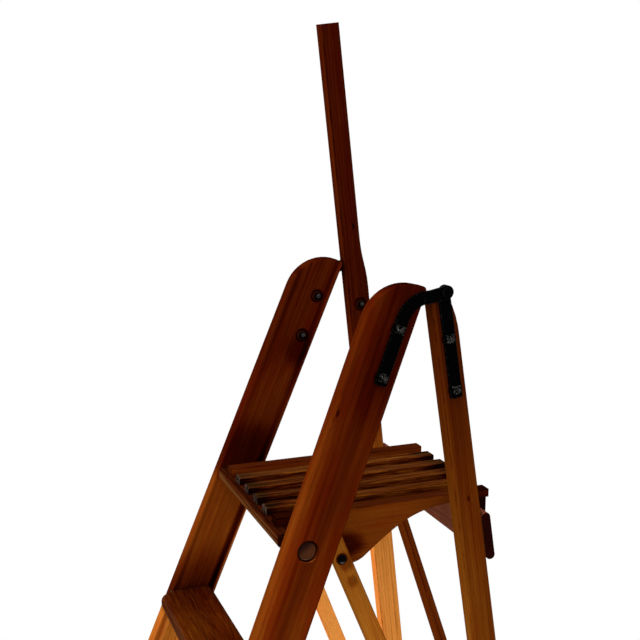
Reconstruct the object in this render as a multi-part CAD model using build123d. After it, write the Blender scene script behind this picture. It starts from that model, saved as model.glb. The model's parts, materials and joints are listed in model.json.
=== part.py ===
from build123d import *
import os
from math import atan2, cos, degrees, radians, sin, tan

# Folding library steps with a hand pole. Millimetres, +Z up, the climber faces +Y.
# Origin: middle of the footprint, on the floor.

# Overall
RISE = 229.0
TREADS = 4
TOP_WIDTH = 333.0
SPLAY = 2.86
FRONT_LEAN = 21.6
REAR_LEAN = 7.8
HINGE_ABOVE_PLATFORM = 321.6

# Front frame. Across a stile, depths count rearward from the hinge line.
STILE_THICK = 24.0
STILE_FRONT = -101.0
STILE_REAR = -26.5
STILE_TOP = 3.5
STILE_TOP_RADIUS = 67.0
STILE_CORNER_RADIUS = 6.0
TREAD_THICK = 24.0
TREAD_EDGE_RADIUS = 10.0
TREAD_OVERHANG = 22.0
TREAD_CORNER_RADIUS = 16.0
TREAD_BACK_INSET = 1.5
TREAD_HOUSING = 8.0

# Rear frame
LEG_THICK = 23.2
LEG_FRONT = -22.5
LEG_REAR = 16.0
LEG_TOP = 9.0
LEG_TOP_REAR = 6.0
LEG_TOP_RADIUS = 5.0
LEG_SHOULDER = 62.0
POLE_REAR = 8.8
POLE_ABOVE_HINGE = 398.0
POLE_SHOULDER_LOW = 45.0
POLE_SHOULDER_HIGH = -50.0
RAIL_THICK = 14.5
RAIL_UPPER_HEIGHT = 73.0
RAIL_LOWER_HEIGHT = 60.0
RAIL_ROUND = 6.5
BRACE_WIDTH = 33.0
BRACE_THICK = 10.0
BRACE_TOP_INSET = 24.0
BRACE_FOOT_INSET = 12.9
BRACE_FOOT_ABOVE_RAIL = 81.0
BRACE_GAP = 1.0

# Platform. Lengths count rearward and downward from its pivot.
PIVOT_AHEAD = 213.3
PIVOT_BELOW_TOP = 29.2
SLAT_WIDTH = 22.0
SLAT_THICK = 12.5
SLAT_PITCH = 46.0
SLATS_INNER = 4
SLAT_FRONT = 25.0
SLAT_BACK = 322.0
SLAT_ROUND = 3.5
SLAT_REST_GAP = 0.2
CROSSPIECE_THICK = 20.0
CROSSPIECE_DEPTH = 24.0
CROSSPIECE_LIP = 8.0
CROSSPIECE_OVERHANG = 27.0
CROSSPIECE_NOSE_RADIUS = 6.0
BATTEN_THICK = 11.0
BATTEN_HEIGHT = 28.0
BATTEN_INSET = 5.0
LOBE_BACK = 85.0
LOBE_DROP = 57.0
LOBE_TURN_BACK = 101.75
LOBE_RISE_BACK = 113.0
LOBE_RISE_SLOPE = 0.8
LOBE_CURVE_PULL = 60.0
TAPER_END_BACK = 284.0
TAPER_CURVE_PULL = 85.0
BELLY_TOP_DROP = 6.0
BELLY_PULL = 45.0

# Links
LINK_BOLT_BACK = 65.0
LINK_BOLT_DROP = 35.0
LINK_FOOT = 1140.0
LINK_FOOT_DEPTH = -4.0
LINK_WIDTH = 27.5
LINK_BEYOND_HEAD = 34.0
LINK_END_ROUND = 6.0
LINK_THICK = 11.0
LINK_STANDOFF = 15.0
LINK_SIDE_GAP = 0.3
LINK_LEG_GAP = 1.0
LINK_BOLT_DIA = 8.0
LINK_HEAD_DIA = 17.0
LINK_HEAD_HIGH = 5.0
LINK_SPACER_DIA = 17.0
BOLT_SEAT_DEEP = 1.0

# Hinges
STRAP_WIDTH = 18.5
STRAP_THICK = 4.5
STRAP_DEPTH = -49.5
STRAP_END = 155.0
STRAP_BEND = 32.8
STRAP_BEND_RADIUS = 46.0
STRAP_LAP = 2.0
STRAP_BOLTS = (72.5, 143.5)
STRAP_END_ROUND = 3.0
JOGGLE_START = 2.0
JOGGLE_RUN = 9.0
EYE_RADIUS = 10.0
EYE_STEP = 1.0
EYE_GAP = 0.3
LEAF_LET_IN = 1.0
LEAF_DEPTH = -2.0
LEAF_END = 156.0
LEAF_BOLTS = (68.0, 143.5)
RIVET_DIA = 7.0
RIVET_HEAD_DIA = 13.0
RIVET_HEAD_HIGH = 3.0
HINGE_BOLT_DIA = 6.5
HINGE_BOLT_HEAD_DIA = 16.0
HINGE_BOLT_HEAD_HIGH = 4.0
NUT_ACROSS = 11.5
NUT_HIGH = 5.5
BOLT_TAIL = 2.0

# Platform pivots
PIVOT_DIA = 14.0
PIVOT_HEAD_DIA = 28.0
PIVOT_HEAD_HIGH = 6.5
PIVOT_RECESS_DIA = 31.5
PIVOT_RECESS_DEEP = 10.0
PIVOT_COLLAR_DIA = 17.0
PIVOT_COLLAR_SEAT = 1.0
PIVOT_ROUND = 2.5

# Screws
SCREW_HEAD_DIA = 8.0
SCREW_HEAD_HIGH = 2.6
SCREW_DIA = 4.0
SCREW_LENGTH = 34.0
SCREW_SLOT_WIDE = 1.0
SCREW_SLOT_DEEP = 1.0
SCREW_EDGE = 16.0

# Common
ARRIS = 2.0
SMALL_ARRIS = 1.0
RUN_CLEARANCE = 0.05
BEYOND = 60.0

# Worked out
lean_front = radians(FRONT_LEAN)
lean_rear = radians(REAR_LEAN)
splay = radians(SPLAY)
half_top = TOP_WIDTH / 2
platform_z = RISE * (TREADS + 1)
hinge_z = platform_z + HINGE_ABOVE_PLATFORM
front_reach = hinge_z * tan(lean_front) - STILE_FRONT / cos(lean_front)
rear_reach = hinge_z * tan(lean_rear) + LEG_REAR / cos(lean_rear)
hinge_y = (front_reach - rear_reach) / 2
pivot_y = hinge_y - PIVOT_AHEAD
pivot_z = platform_z - PIVOT_BELOW_TOP
slat_under = PIVOT_BELOW_TOP - SLAT_THICK
side_centre = SLAT_PITCH * (SLATS_INNER + 1) / 2
side_outer = side_centre + SLAT_WIDTH / 2
board_long = hinge_z / cos(lean_front) + BEYOND
leg_long = hinge_z / cos(lean_rear) + BEYOND
pivot_along = PIVOT_AHEAD * sin(lean_front) + (hinge_z - pivot_z) * cos(lean_front)
crosspiece_rear = CROSSPIECE_DEPTH - SLAT_FRONT - CROSSPIECE_LIP
leaf_inner = half_top - LEAF_LET_IN
leaf_eye_outer = leaf_inner + STRAP_THICK + EYE_STEP
strap_eye_inner = leaf_eye_outer + EYE_GAP
rest_drop = hinge_z - platform_z + SLAT_THICK + SLAT_REST_GAP
rail_crest = (LEG_REAR + RAIL_THICK - RAIL_ROUND) * sin(lean_rear) + RAIL_ROUND
rail_upper_top = (rest_drop + rail_crest) / cos(lean_rear) - RAIL_ROUND
rail_upper_bottom = rail_upper_top + RAIL_UPPER_HEIGHT
rail_lower_top = LINK_FOOT - RAIL_LOWER_HEIGHT / 2
brace_foot = rail_lower_top - BRACE_FOOT_ABOVE_RAIL
rail_heights = ((rail_upper_top, RAIL_UPPER_HEIGHT), (rail_lower_top, RAIL_LOWER_HEIGHT))
link_head_y = pivot_y + LINK_BOLT_BACK
link_head_z = pivot_z - LINK_BOLT_DROP
link_head_x = side_outer + LINK_STANDOFF + LINK_THICK / 2
link_seat_inner = link_head_x - LINK_THICK / 2 + BOLT_SEAT_DEEP
link_seat_outer = link_head_x + LINK_THICK / 2 - BOLT_SEAT_DEEP

# Frame planes through the hinge line: local x across, y down the boards, z rearward.
hinge = (0, hinge_y, hinge_z)
front_plane = Plane(hinge, x_dir=(1, 0, 0), z_dir=(0, cos(lean_front), -sin(lean_front)))
rear_plane = Plane(hinge, x_dir=(1, 0, 0), z_dir=(0, cos(lean_rear), sin(lean_rear)))


def half_width(along):
    """Half the frame's outer width, at a distance down from the hinge line."""
    return half_top + along * tan(splay)


brace_top_x = BRACE_TOP_INSET - half_width(rail_upper_bottom)
brace_foot_x = half_width(brace_foot) - BRACE_FOOT_INSET
leg_inner_x = half_width(LINK_FOOT) - LEG_THICK / cos(splay)
link_foot_x = leg_inner_x - LINK_LEG_GAP - LINK_THICK / 2
link_foot = rear_plane.from_local_coords(Vector(link_foot_x, LINK_FOOT, LINK_FOOT_DEPTH))


def in_front(shape):
    return front_plane.location * shape


def in_rear(shape):
    return rear_plane.location * shape


def splayed(shape):
    """Leans a right-hand board, whose outer face is at x = 0, out to its place in a frame."""
    return Pos(half_top, 0, 0) * Rot(0, 0, -SPLAY) * shape


def mirrored(shape):
    return mirror(shape, about=Plane.YZ)


def on_floor(board):
    return split(board, bisect_by=Plane.XY, keep=Keep.TOP)


def rounded(face, corner, radius):
    return fillet(face.vertices().sort_by_distance(corner)[0], radius)


def softened(board, radius):
    """Rounds the edges of both broad faces of a board that is thin along x."""
    faces = board.faces().sort_by(Axis.X)
    return fillet(faces[0].edges() + faces[-1].edges(), radius)


def tapered(top, bottom, inset, near, far):
    """Block between the sides of a frame, its ends parallel to their outer faces."""
    high = half_width(top) - inset
    low = half_width(bottom) - inset
    outline = Polyline((-high, top), (high, top), (low, bottom), (-low, bottom), close=True)
    return Pos(0, 0, near) * extrude(make_face(outline), amount=far - near)


def rod(diameter, start, end, y, z):
    """Round bar along x."""
    return Pos(start, y, z) * Rot(0, 90, 0) * extrude(Circle(diameter / 2), amount=end - start)


def hole(diameter, y, z):
    """Cutter along x, through either side of the steps."""
    return rod(diameter + 2 * RUN_CLEARANCE, 0, TOP_WIDTH, y, z)


def domed(head_dia, head_high, dia, length):
    """Cup-headed bolt along +z, its head below z = 0."""
    bevel = radians(45)
    middle = (head_dia / 2 * sin(bevel), -head_high * cos(bevel))
    crown = ThreePointArc((0, -head_high), middle, (head_dia / 2, 0))
    rest = Polyline(crown @ 1, (dia / 2, 0), (dia / 2, length), (0, length), crown @ 0)
    return revolve(Plane.XZ * make_face([crown, rest]), Axis.Z)


def square_nut(dia):
    """Square nut along +x, its seat at x = 0."""
    block = Pos(NUT_HIGH / 2, 0, 0) * Box(NUT_HIGH, NUT_ACROSS, NUT_ACROSS)
    block = chamfer(block.faces().sort_by(Axis.X)[-1].edges(), SMALL_ARRIS)
    return block - rod(dia + 2 * RUN_CLEARANCE, -NUT_HIGH, 2 * NUT_HIGH, 0, 0)


# Front frame


def stile_y(z, depth):
    """Where a plane across the stiles, at a depth from the hinge line, stands at a height."""
    return hinge_y - (hinge_z - z) * tan(lean_front) + depth / cos(lean_front)


def tread(number):
    """Horizontal board: round front and back, ends let into both stiles, nosing ahead of them."""
    top = RISE * number
    stile_front = stile_y(top, STILE_FRONT)
    front = stile_front - TREAD_OVERHANG
    back = stile_y(top - TREAD_THICK, STILE_REAR) - TREAD_BACK_INSET
    middle = Pos((front + back) / 2, top - TREAD_THICK / 2)
    section = middle * RectangleRounded(back - front, TREAD_THICK, TREAD_EDGE_RADIUS)
    board = extrude(Plane.YZ * section, amount=half_width(board_long), both=True)
    inset = STILE_THICK / cos(splay)
    housed = board & in_front(tapered(0, board_long, inset - TREAD_HOUSING, STILE_FRONT, 0))
    along = (hinge_z - top) / cos(lean_front) - STILE_FRONT * tan(lean_front)
    return housed + nosing(top, front, stile_front, half_width(along) - inset)


def nosing(top, front, back, reach):
    """Part of a tread ahead of the stiles, between their inner faces, with rounded corners."""
    plan = Pos(0, (front + back) / 2) * Rectangle(2 * reach, back - front)
    plan = fillet(plan.vertices().group_by(Axis.Y)[0], TREAD_CORNER_RADIUS)
    block = extrude(Pos(0, 0, top - TREAD_THICK) * plan, amount=TREAD_THICK)
    level = block.faces().sort_by(Axis.Z)
    rims = [face.edges().sort_by(Axis.Y)[:-1] for face in (level[0], level[-1])]
    return fillet(rims[0] + rims[1], TREAD_EDGE_RADIUS)


def stile():
    """Right-hand stile in the front frame: a quarter-round top and a rounded rear corner."""
    width = STILE_REAR - STILE_FRONT
    outline = Pos(STILE_TOP, STILE_FRONT) * Rectangle(board_long, width, align=(Align.MIN, Align.MIN))
    outline = rounded(outline, (STILE_TOP, STILE_FRONT), STILE_TOP_RADIUS)
    outline = rounded(outline, (STILE_TOP, STILE_REAR), STILE_CORNER_RADIUS)
    board = softened(extrude(Plane.YZ * outline, amount=-STILE_THICK), ARRIS)
    for along in STRAP_BOLTS:
        bore = HINGE_BOLT_DIA + 2 * RUN_CLEARANCE
        board -= rod(bore, -2 * STILE_THICK, STILE_THICK, along, STRAP_DEPTH)
    return splayed(board)


def bored_stile(treads):
    """The stile in place, with its tread housings and the seat of the platform's pivot."""
    board = on_floor(in_front(stile()))
    for step in treads:
        board -= step
    outer = half_width(pivot_along)
    inner = outer - STILE_THICK / cos(splay)
    board -= hole(PIVOT_DIA, pivot_y, pivot_z)
    board -= rod(PIVOT_RECESS_DIA, outer - PIVOT_RECESS_DEEP, TOP_WIDTH, pivot_y, pivot_z)
    seat = PIVOT_COLLAR_DIA + 2 * RUN_CLEARANCE
    board -= rod(seat, 0, inner + PIVOT_COLLAR_SEAT, pivot_y, pivot_z)
    return board


def platform_pivot():
    """Headed pivot: head sunk in the stile, collar to space the platform, shank into its side."""
    outer = half_width(pivot_along)
    inner = outer - STILE_THICK / cos(splay)
    under_head = outer - PIVOT_RECESS_DEEP
    head = rod(PIVOT_HEAD_DIA, under_head, under_head + PIVOT_HEAD_HIGH, pivot_y, pivot_z)
    head = fillet(head.faces().sort_by(Axis.X)[-1].edges(), PIVOT_ROUND)
    shank = rod(PIVOT_DIA, side_outer - SLAT_WIDTH, under_head, pivot_y, pivot_z)
    collar_start = side_outer + LINK_SIDE_GAP
    collar = rod(PIVOT_COLLAR_DIA, collar_start, inner + PIVOT_COLLAR_SEAT, pivot_y, pivot_z)
    return head + shank + collar


def strap():
    """Hinge strap: along the stile's outer face, curved to the rear, cranked out to its eye."""
    bend = Vector(STRAP_BEND, STRAP_DEPTH)
    to_eye = (Vector(0, 0) - bend).normalized()
    lap = bend + to_eye * (bend_run(to_eye) + STRAP_LAP)
    path = FilletPolyline((STRAP_END, STRAP_DEPTH), bend, lap, radius=STRAP_BEND_RADIUS)
    plate = extrude(Plane.YZ * trace(path, STRAP_WIDTH), amount=STRAP_THICK)
    plate = fillet(plate.edges().filter_by(Axis.X).group_by(Axis.Y)[-1], STRAP_END_ROUND)
    for along in STRAP_BOLTS:
        bore = HINGE_BOLT_DIA + 2 * RUN_CLEARANCE
        plate -= rod(bore, -STRAP_THICK, 2 * STRAP_THICK, along, STRAP_DEPTH)
    return splayed(plate) + strap_arm(bend_run(to_eye))


def bend_run(to_eye):
    """How far the strap's curve reaches from its bend point, along the arm."""
    turn = Vector(-1, 0).get_angle(to_eye)
    return STRAP_BEND_RADIUS * tan(radians(turn / 2))


def strap_arm(start):
    """Cranked arm from the end of the strap's curve to the eye on the hinge line."""
    reach = (STRAP_BEND**2 + STRAP_DEPTH**2) ** 0.5
    low = half_width(STRAP_BEND)
    step = start + JOGGLE_START
    crank = step + JOGGLE_RUN
    under = Polyline((start, low), (step, low), (crank, strap_eye_inner), (reach, strap_eye_inner))
    over = Pos(0, STRAP_THICK) * under
    ends = [Line(under @ 0, over @ 0), Line(under @ 1, over @ 1)]
    along = Vector(0, -STRAP_BEND, -STRAP_DEPTH).normalized()
    across = Vector(1, 0, 0)
    plane = Plane((0, STRAP_BEND, STRAP_DEPTH), x_dir=along, z_dir=along.cross(across))
    bar = extrude(plane * make_face([under, over, *ends]), amount=STRAP_WIDTH / 2, both=True)
    eye_outer = strap_eye_inner + STRAP_THICK
    eye = rod(2 * EYE_RADIUS, strap_eye_inner, eye_outer, 0, 0)
    return bar + eye - rod(RIVET_DIA, 0, TOP_WIDTH, 0, 0)


def hinge_rivet():
    """Rivet through both eyes, domed outside, its tail just short of the leg."""
    eye_outer = strap_eye_inner + STRAP_THICK
    length = eye_outer - leaf_inner - EYE_GAP
    rivet = domed(RIVET_HEAD_DIA, RIVET_HEAD_HIGH, RIVET_DIA, length)
    return Pos(eye_outer, 0, 0) * Rot(0, -90, 0) * rivet


def hinge_bolts(thick, metal_out, places, depth):
    """Cup-headed bolts from a board's inner face, and the nuts over its strap."""
    length = thick + metal_out + NUT_HIGH + BOLT_TAIL
    bolt = domed(HINGE_BOLT_HEAD_DIA, HINGE_BOLT_HEAD_HIGH, HINGE_BOLT_DIA, length)
    bolts = [splayed(Pos(-thick, along, depth) * Rot(0, 90, 0) * bolt) for along in places]
    nuts = [splayed(Pos(metal_out, along, depth) * square_nut(HINGE_BOLT_DIA)) for along in places]
    return bolts, nuts


# Rear frame


def leaf():
    """Hinge leaf let into the leg's outer face, with its eye on the hinge line."""
    plate = Pos(-LEAF_LET_IN, 0, LEAF_DEPTH) * Box(
        STRAP_THICK, LEAF_END, STRAP_WIDTH, align=(Align.MIN, Align.MIN, Align.CENTER)
    )
    plate = fillet(plate.edges().filter_by(Axis.X).group_by(Axis.Y)[-1], STRAP_END_ROUND)
    return splayed(plate) + rod(2 * EYE_RADIUS, leaf_inner, leaf_eye_outer, 0, 0)


def bored_leaf():
    plate = leaf() - hole(RIVET_DIA, 0, 0)
    for along in LEAF_BOLTS:
        plate -= splayed(rod(HINGE_BOLT_DIA + 2 * RUN_CLEARANCE, -LEG_THICK, LEG_THICK, along, LEAF_DEPTH))
    return plate


def short_leg_outline():
    """Leg that stops under the hinge, its rear edge curving in to the top."""
    curve = TangentArc((LEG_SHOULDER, LEG_REAR), (LEG_TOP, LEG_TOP_REAR), tangent=(-1, 0))
    rest = Polyline(
        curve @ 1, (LEG_TOP, LEG_FRONT), (leg_long, LEG_FRONT), (leg_long, LEG_REAR), curve @ 0
    )
    outline = make_face([curve, rest])
    outline = rounded(outline, (LEG_TOP, LEG_TOP_REAR), LEG_TOP_RADIUS)
    return rounded(outline, (LEG_TOP, LEG_FRONT), LEG_TOP_RADIUS)


def pole_leg_outline():
    """Leg that runs on above the hinge as a hand pole, slimmer behind above a gentle shoulder."""
    middle = (POLE_SHOULDER_LOW + POLE_SHOULDER_HIGH) / 2
    curve = Bezier(
        (POLE_SHOULDER_LOW, LEG_REAR),
        (middle, LEG_REAR),
        (middle, POLE_REAR),
        (POLE_SHOULDER_HIGH, POLE_REAR),
    )
    pole_top = -POLE_ABOVE_HINGE
    rest = Polyline(
        curve @ 1,
        (pole_top, POLE_REAR),
        (pole_top, LEG_FRONT),
        (leg_long, LEG_FRONT),
        (leg_long, LEG_REAR),
        curve @ 0,
    )
    return make_face([curve, rest])


def leg(outline):
    """Right-hand leg in the rear frame, with the bed of its hinge leaf and its bolt holes."""
    board = softened(extrude(Plane.YZ * outline, amount=-LEG_THICK), ARRIS)
    for along in LEAF_BOLTS:
        board -= rod(HINGE_BOLT_DIA + 2 * RUN_CLEARANCE, -2 * LEG_THICK, LEG_THICK, along, LEAF_DEPTH)
    board = splayed(board) - leaf()
    board -= hole(LINK_BOLT_DIA, LINK_FOOT, LINK_FOOT_DEPTH)
    return board - foot_bolt_spotface()


def foot_bolt_spotface():
    """Flat seat, square to the bolt, for its head on the splayed leg."""
    seat = half_width(LINK_FOOT) - BOLT_SEAT_DEEP
    return rod(HINGE_BOLT_HEAD_DIA, seat, TOP_WIDTH, LINK_FOOT, LINK_FOOT_DEPTH)


def foot_bolt():
    """Bolt through the leg and the link's foot, and its nut inside."""
    seat = half_width(LINK_FOOT) - BOLT_SEAT_DEEP
    nut_seat = link_foot_x - LINK_THICK / 2 - LINK_LEG_GAP
    length = seat - nut_seat + NUT_HIGH + BOLT_TAIL
    bolt = domed(HINGE_BOLT_HEAD_DIA, HINGE_BOLT_HEAD_HIGH, LINK_BOLT_DIA, length)
    bolt = Pos(seat, LINK_FOOT, LINK_FOOT_DEPTH) * Rot(0, -90, 0) * bolt
    nut = Pos(nut_seat, LINK_FOOT, LINK_FOOT_DEPTH) * Rot(0, 180, 0) * square_nut(LINK_BOLT_DIA)
    return bolt, nut


def rail(top, height):
    """Rear rail across the legs' rear faces, its long edges rounded, its ends flush with the legs."""
    board = tapered(top, top + height, 0, LEG_REAR, LEG_REAR + RAIL_THICK)
    return fillet(board.edges().filter_by(Axis.X), RAIL_ROUND)


def brace():
    """Diagonal from the pole leg, under the upper rail, down to the other leg."""
    run = brace_foot_x - brace_top_x
    drop = brace_foot - rail_upper_bottom
    slope = degrees(atan2(drop, run))
    rear = LEG_REAR + BRACE_THICK
    middle = Pos(brace_top_x + run / 2, rail_upper_bottom + drop / 2, LEG_REAR + BRACE_THICK / 2)
    bar = middle * Rot(0, 0, slope) * Box(board_long, BRACE_WIDTH, BRACE_THICK)
    return bar & tapered(rail_upper_bottom + BRACE_GAP, rail_lower_top - BRACE_GAP, 0, LEG_REAR, rear)


def screw(x, along, face):
    """Round-head slotted screw driven forward from a face of the rear frame."""
    body = domed(SCREW_HEAD_DIA, SCREW_HEAD_HIGH, SCREW_DIA, SCREW_LENGTH)
    body -= Pos(0, 0, -SCREW_HEAD_HIGH) * Box(SCREW_HEAD_DIA, SCREW_SLOT_WIDE, 2 * SCREW_SLOT_DEEP)
    return Pos(x, along, face) * Rot(180, 0, 0) * body


def rail_screw_places():
    places = []
    for top, height in rail_heights:
        for along in (top + SCREW_EDGE, top + height - SCREW_EDGE):
            offset = half_width(along) - LEG_THICK / 2
            places += [(-offset, along), (offset, along)]
    return places


def brace_screw_places():
    """One screw at each end of the brace, where it crosses a leg."""
    slope = (brace_foot - rail_upper_bottom) / (brace_foot_x - brace_top_x)
    upper = rail_upper_bottom + SCREW_EDGE
    upper_x = LEG_THICK / 2 - half_width(upper)
    lower_x = half_width(brace_foot) - LEG_THICK / 2
    return [(upper_x, upper), (lower_x, brace_foot + (lower_x - brace_foot_x) * slope)]


# Platform, drawn from its pivot: back along +Y, up along +Z


def at_pivot(shape):
    return Pos(0, pivot_y, pivot_z) * shape


def side_outline():
    """Shaped side: a deep lobe for the link's bolt, drawn up to a slat's thickness at the back."""
    rise_z = LOBE_RISE_SLOPE * (LOBE_RISE_BACK - LOBE_TURN_BACK) - LOBE_DROP
    lobe_pull = (LOBE_RISE_BACK + LOBE_CURVE_PULL, rise_z + LOBE_RISE_SLOPE * LOBE_CURVE_PULL)
    taper_pull = (TAPER_END_BACK - TAPER_CURVE_PULL, slat_under)
    taper = Bezier((TAPER_END_BACK, slat_under), taper_pull, lobe_pull, (LOBE_RISE_BACK, rise_z))
    lobe = Bezier(taper @ 1, (LOBE_TURN_BACK, -LOBE_DROP), (LOBE_BACK, -LOBE_DROP))
    belly_pull = (crosspiece_rear, BELLY_PULL - LOBE_DROP)
    belly_end = (crosspiece_rear, -BELLY_TOP_DROP)
    belly = Bezier(lobe @ 1, (LOBE_BACK - BELLY_PULL, -LOBE_DROP), belly_pull, belly_end)
    rest = Polyline(
        belly @ 1,
        (crosspiece_rear, slat_under),
        (-SLAT_FRONT, slat_under),
        (-SLAT_FRONT, PIVOT_BELOW_TOP),
        (SLAT_BACK, PIVOT_BELOW_TOP),
        (SLAT_BACK, slat_under),
        taper @ 0,
    )
    return make_face([taper, lobe, belly, rest])


def platform_side():
    board = extrude(Plane.YZ * side_outline(), amount=SLAT_WIDTH / 2, both=True)
    board = softened(board, SMALL_ARRIS)
    board = at_pivot(Pos(side_centre, 0, 0) * board)
    return board - hole(PIVOT_DIA, pivot_y, pivot_z)


def slat(index):
    long = SLAT_FRONT + SLAT_BACK
    x = SLAT_PITCH * (index - (SLATS_INNER - 1) / 2)
    bar = Box(SLAT_WIDTH, long, SLAT_THICK)
    bar = fillet(bar.faces().sort_by(Axis.Z)[-1].edges(), SLAT_ROUND)
    return at_pivot(Pos(x, (SLAT_BACK - SLAT_FRONT) / 2, slat_under + SLAT_THICK / 2) * bar)


def crosspiece():
    """Nosed board across the front, under the slats and the sides."""
    long = 2 * (side_outer + CROSSPIECE_OVERHANG)
    board = Box(long, CROSSPIECE_DEPTH, CROSSPIECE_THICK)
    board = fillet(board.edges().filter_by(Axis.X).group_by(Axis.Y)[0], CROSSPIECE_NOSE_RADIUS)
    centre = Pos(0, crosspiece_rear - CROSSPIECE_DEPTH / 2, slat_under - CROSSPIECE_THICK / 2)
    return at_pivot(centre * board)


def batten():
    """Batten on edge under the slats' rear ends, behind the upper rail."""
    board = Box(2 * side_outer, BATTEN_THICK, BATTEN_HEIGHT)
    board = fillet(board.faces().sort_by(Axis.Z)[0].edges(), SMALL_ARRIS)
    centre = Pos(0, SLAT_BACK - BATTEN_INSET - BATTEN_THICK / 2, slat_under - BATTEN_HEIGHT / 2)
    return at_pivot(centre * board)


# Links


def link_bar():
    """Strut leaning out to the leg: it runs on above its upper bolt and is round at its foot."""
    head = Vector(link_head_x, link_head_y, link_head_z)
    run = link_foot - head
    across = Vector(1, 0, 0) - run * (run.X / run.length**2)
    plane = Plane(head, x_dir=run, z_dir=across)
    long = LINK_BEYOND_HEAD + run.length
    outline = Rectangle(long, LINK_WIDTH, align=(Align.MIN, Align.CENTER))
    outline = fillet(outline.vertices().group_by(Axis.X)[0], LINK_END_ROUND)
    outline = Pos(-LINK_BEYOND_HEAD, 0) * outline + Pos(run.length, 0) * Circle(LINK_WIDTH / 2)
    bar = extrude(plane * outline, amount=LINK_THICK / 2, both=True)
    broad = bar.faces().sort_by(SortBy.AREA)[-2:]
    return fillet(broad[0].edges() + broad[1].edges(), SMALL_ARRIS)


def link():
    """Strut with its bolt holes, and flat seats, square to the head bolt, for its collar and its head."""
    bar = link_bar() - hole(LINK_BOLT_DIA, link_head_y, link_head_z)
    bar -= hole(LINK_BOLT_DIA, link_foot.Y, link_foot.Z)
    bar -= rod(LINK_SPACER_DIA, 0, link_seat_inner, link_head_y, link_head_z)
    return bar - rod(LINK_HEAD_DIA, link_seat_outer, TOP_WIDTH, link_head_y, link_head_z)


def link_spacer():
    """Collar on the head bolt that holds the link off the platform's side."""
    collar = rod(LINK_SPACER_DIA, side_outer + LINK_SIDE_GAP, link_seat_inner, link_head_y, link_head_z)
    return collar - hole(LINK_BOLT_DIA, link_head_y, link_head_z)


def link_head_bolt():
    length = link_seat_outer - side_outer - LINK_SIDE_GAP
    bolt = domed(LINK_HEAD_DIA, LINK_HEAD_HIGH, LINK_BOLT_DIA, length)
    return Pos(link_seat_outer, link_head_y, link_head_z) * Rot(0, -90, 0) * bolt


# Everything, by node


def save(name, *shapes):
    shape = shapes[0] if len(shapes) == 1 else Compound(children=list(shapes))
    export_step(shape, os.path.join("parts", name + ".step"))


def both_sides(name, right):
    save(name + "_right", right)
    save(name + "_left", mirrored(right))


def make_front_frame():
    treads = [tread(number + 1) for number in range(TREADS)]
    for number, step in enumerate(treads):
        save(f"tread_{number + 1}", step)
    both_sides("stile", bored_stile(treads))
    both_sides("hinge_strap", in_front(strap()))
    both_sides("hinge_rivet", in_front(hinge_rivet()))
    both_sides("platform_pivot", platform_pivot())
    bolts, nuts = hinge_bolts(STILE_THICK, STRAP_THICK, STRAP_BOLTS, STRAP_DEPTH)
    bolts = [in_front(bolt) for bolt in bolts]
    nuts = [in_front(nut) for nut in nuts]
    save("stile_hinge_bolts", *bolts, *map(mirrored, bolts))
    save("stile_hinge_nuts", *nuts, *map(mirrored, nuts))


def make_rear_frame():
    right = on_floor(in_rear(leg(short_leg_outline())))
    left = mirrored(on_floor(in_rear(leg(pole_leg_outline()))))
    rails = [in_rear(rail(top, height)) for top, height in rail_heights]
    diagonal = in_rear(brace())
    rail_screws = [in_rear(screw(x, along, LEG_REAR + RAIL_THICK)) for x, along in rail_screw_places()]
    brace_screws = [in_rear(screw(x, along, LEG_REAR + BRACE_THICK)) for x, along in brace_screw_places()]
    for driven in rail_screws + brace_screws:
        right -= driven
        left -= driven
        rails = [board - driven for board in rails]
        diagonal -= driven
    save("rear_leg_right", right)
    save("rear_leg_left", left)
    save("rear_rail_upper", rails[0])
    save("rear_rail_lower", rails[1])
    save("rear_brace", diagonal)
    save("rail_screws", *rail_screws)
    save("brace_screws", *brace_screws)
    both_sides("hinge_leaf", in_rear(bored_leaf()))
    bolts, nuts = hinge_bolts(LEG_THICK, STRAP_THICK - LEAF_LET_IN, LEAF_BOLTS, LEAF_DEPTH)
    bolts = [in_rear(bolt) for bolt in bolts]
    nuts = [in_rear(nut) for nut in nuts]
    save("leg_hinge_bolts", *bolts, *map(mirrored, bolts))
    save("leg_hinge_nuts", *nuts, *map(mirrored, nuts))
    bolt, nut = [in_rear(piece) for piece in foot_bolt()]
    save("link_foot_bolts", bolt, mirrored(bolt))
    save("link_foot_nuts", nut, mirrored(nut))


def make_platform():
    both_sides("platform_side", platform_side())
    for index in range(SLATS_INNER):
        save(f"slat_{index + 1}", slat(index))
    save("front_crosspiece", crosspiece())
    save("rear_batten", batten())


def make_links():
    both_sides("link", link())
    both_sides("link_spacer", link_spacer())
    both_sides("link_head_bolt", link_head_bolt())


os.makedirs("parts", exist_ok=True)
make_front_frame()
make_rear_frame()
make_platform()
make_links()
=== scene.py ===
import json
import math

import bpy
from mathutils import Matrix, Vector


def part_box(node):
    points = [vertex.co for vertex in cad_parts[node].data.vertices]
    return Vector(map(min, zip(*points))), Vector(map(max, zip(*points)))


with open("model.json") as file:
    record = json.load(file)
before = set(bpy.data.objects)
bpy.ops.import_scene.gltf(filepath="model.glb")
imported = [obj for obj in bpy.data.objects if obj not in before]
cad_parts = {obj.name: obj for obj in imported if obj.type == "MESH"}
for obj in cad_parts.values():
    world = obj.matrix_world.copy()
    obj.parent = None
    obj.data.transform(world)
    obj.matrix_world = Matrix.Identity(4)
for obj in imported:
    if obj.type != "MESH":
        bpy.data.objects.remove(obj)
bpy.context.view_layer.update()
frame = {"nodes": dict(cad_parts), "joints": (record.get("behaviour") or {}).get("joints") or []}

# Folding library steps: old varnished pine, stained rails and black-painted iron.
# Lengths are in metres, in the frame's axes. Shading works in the rest frame, so it stays put in a pose.

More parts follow.
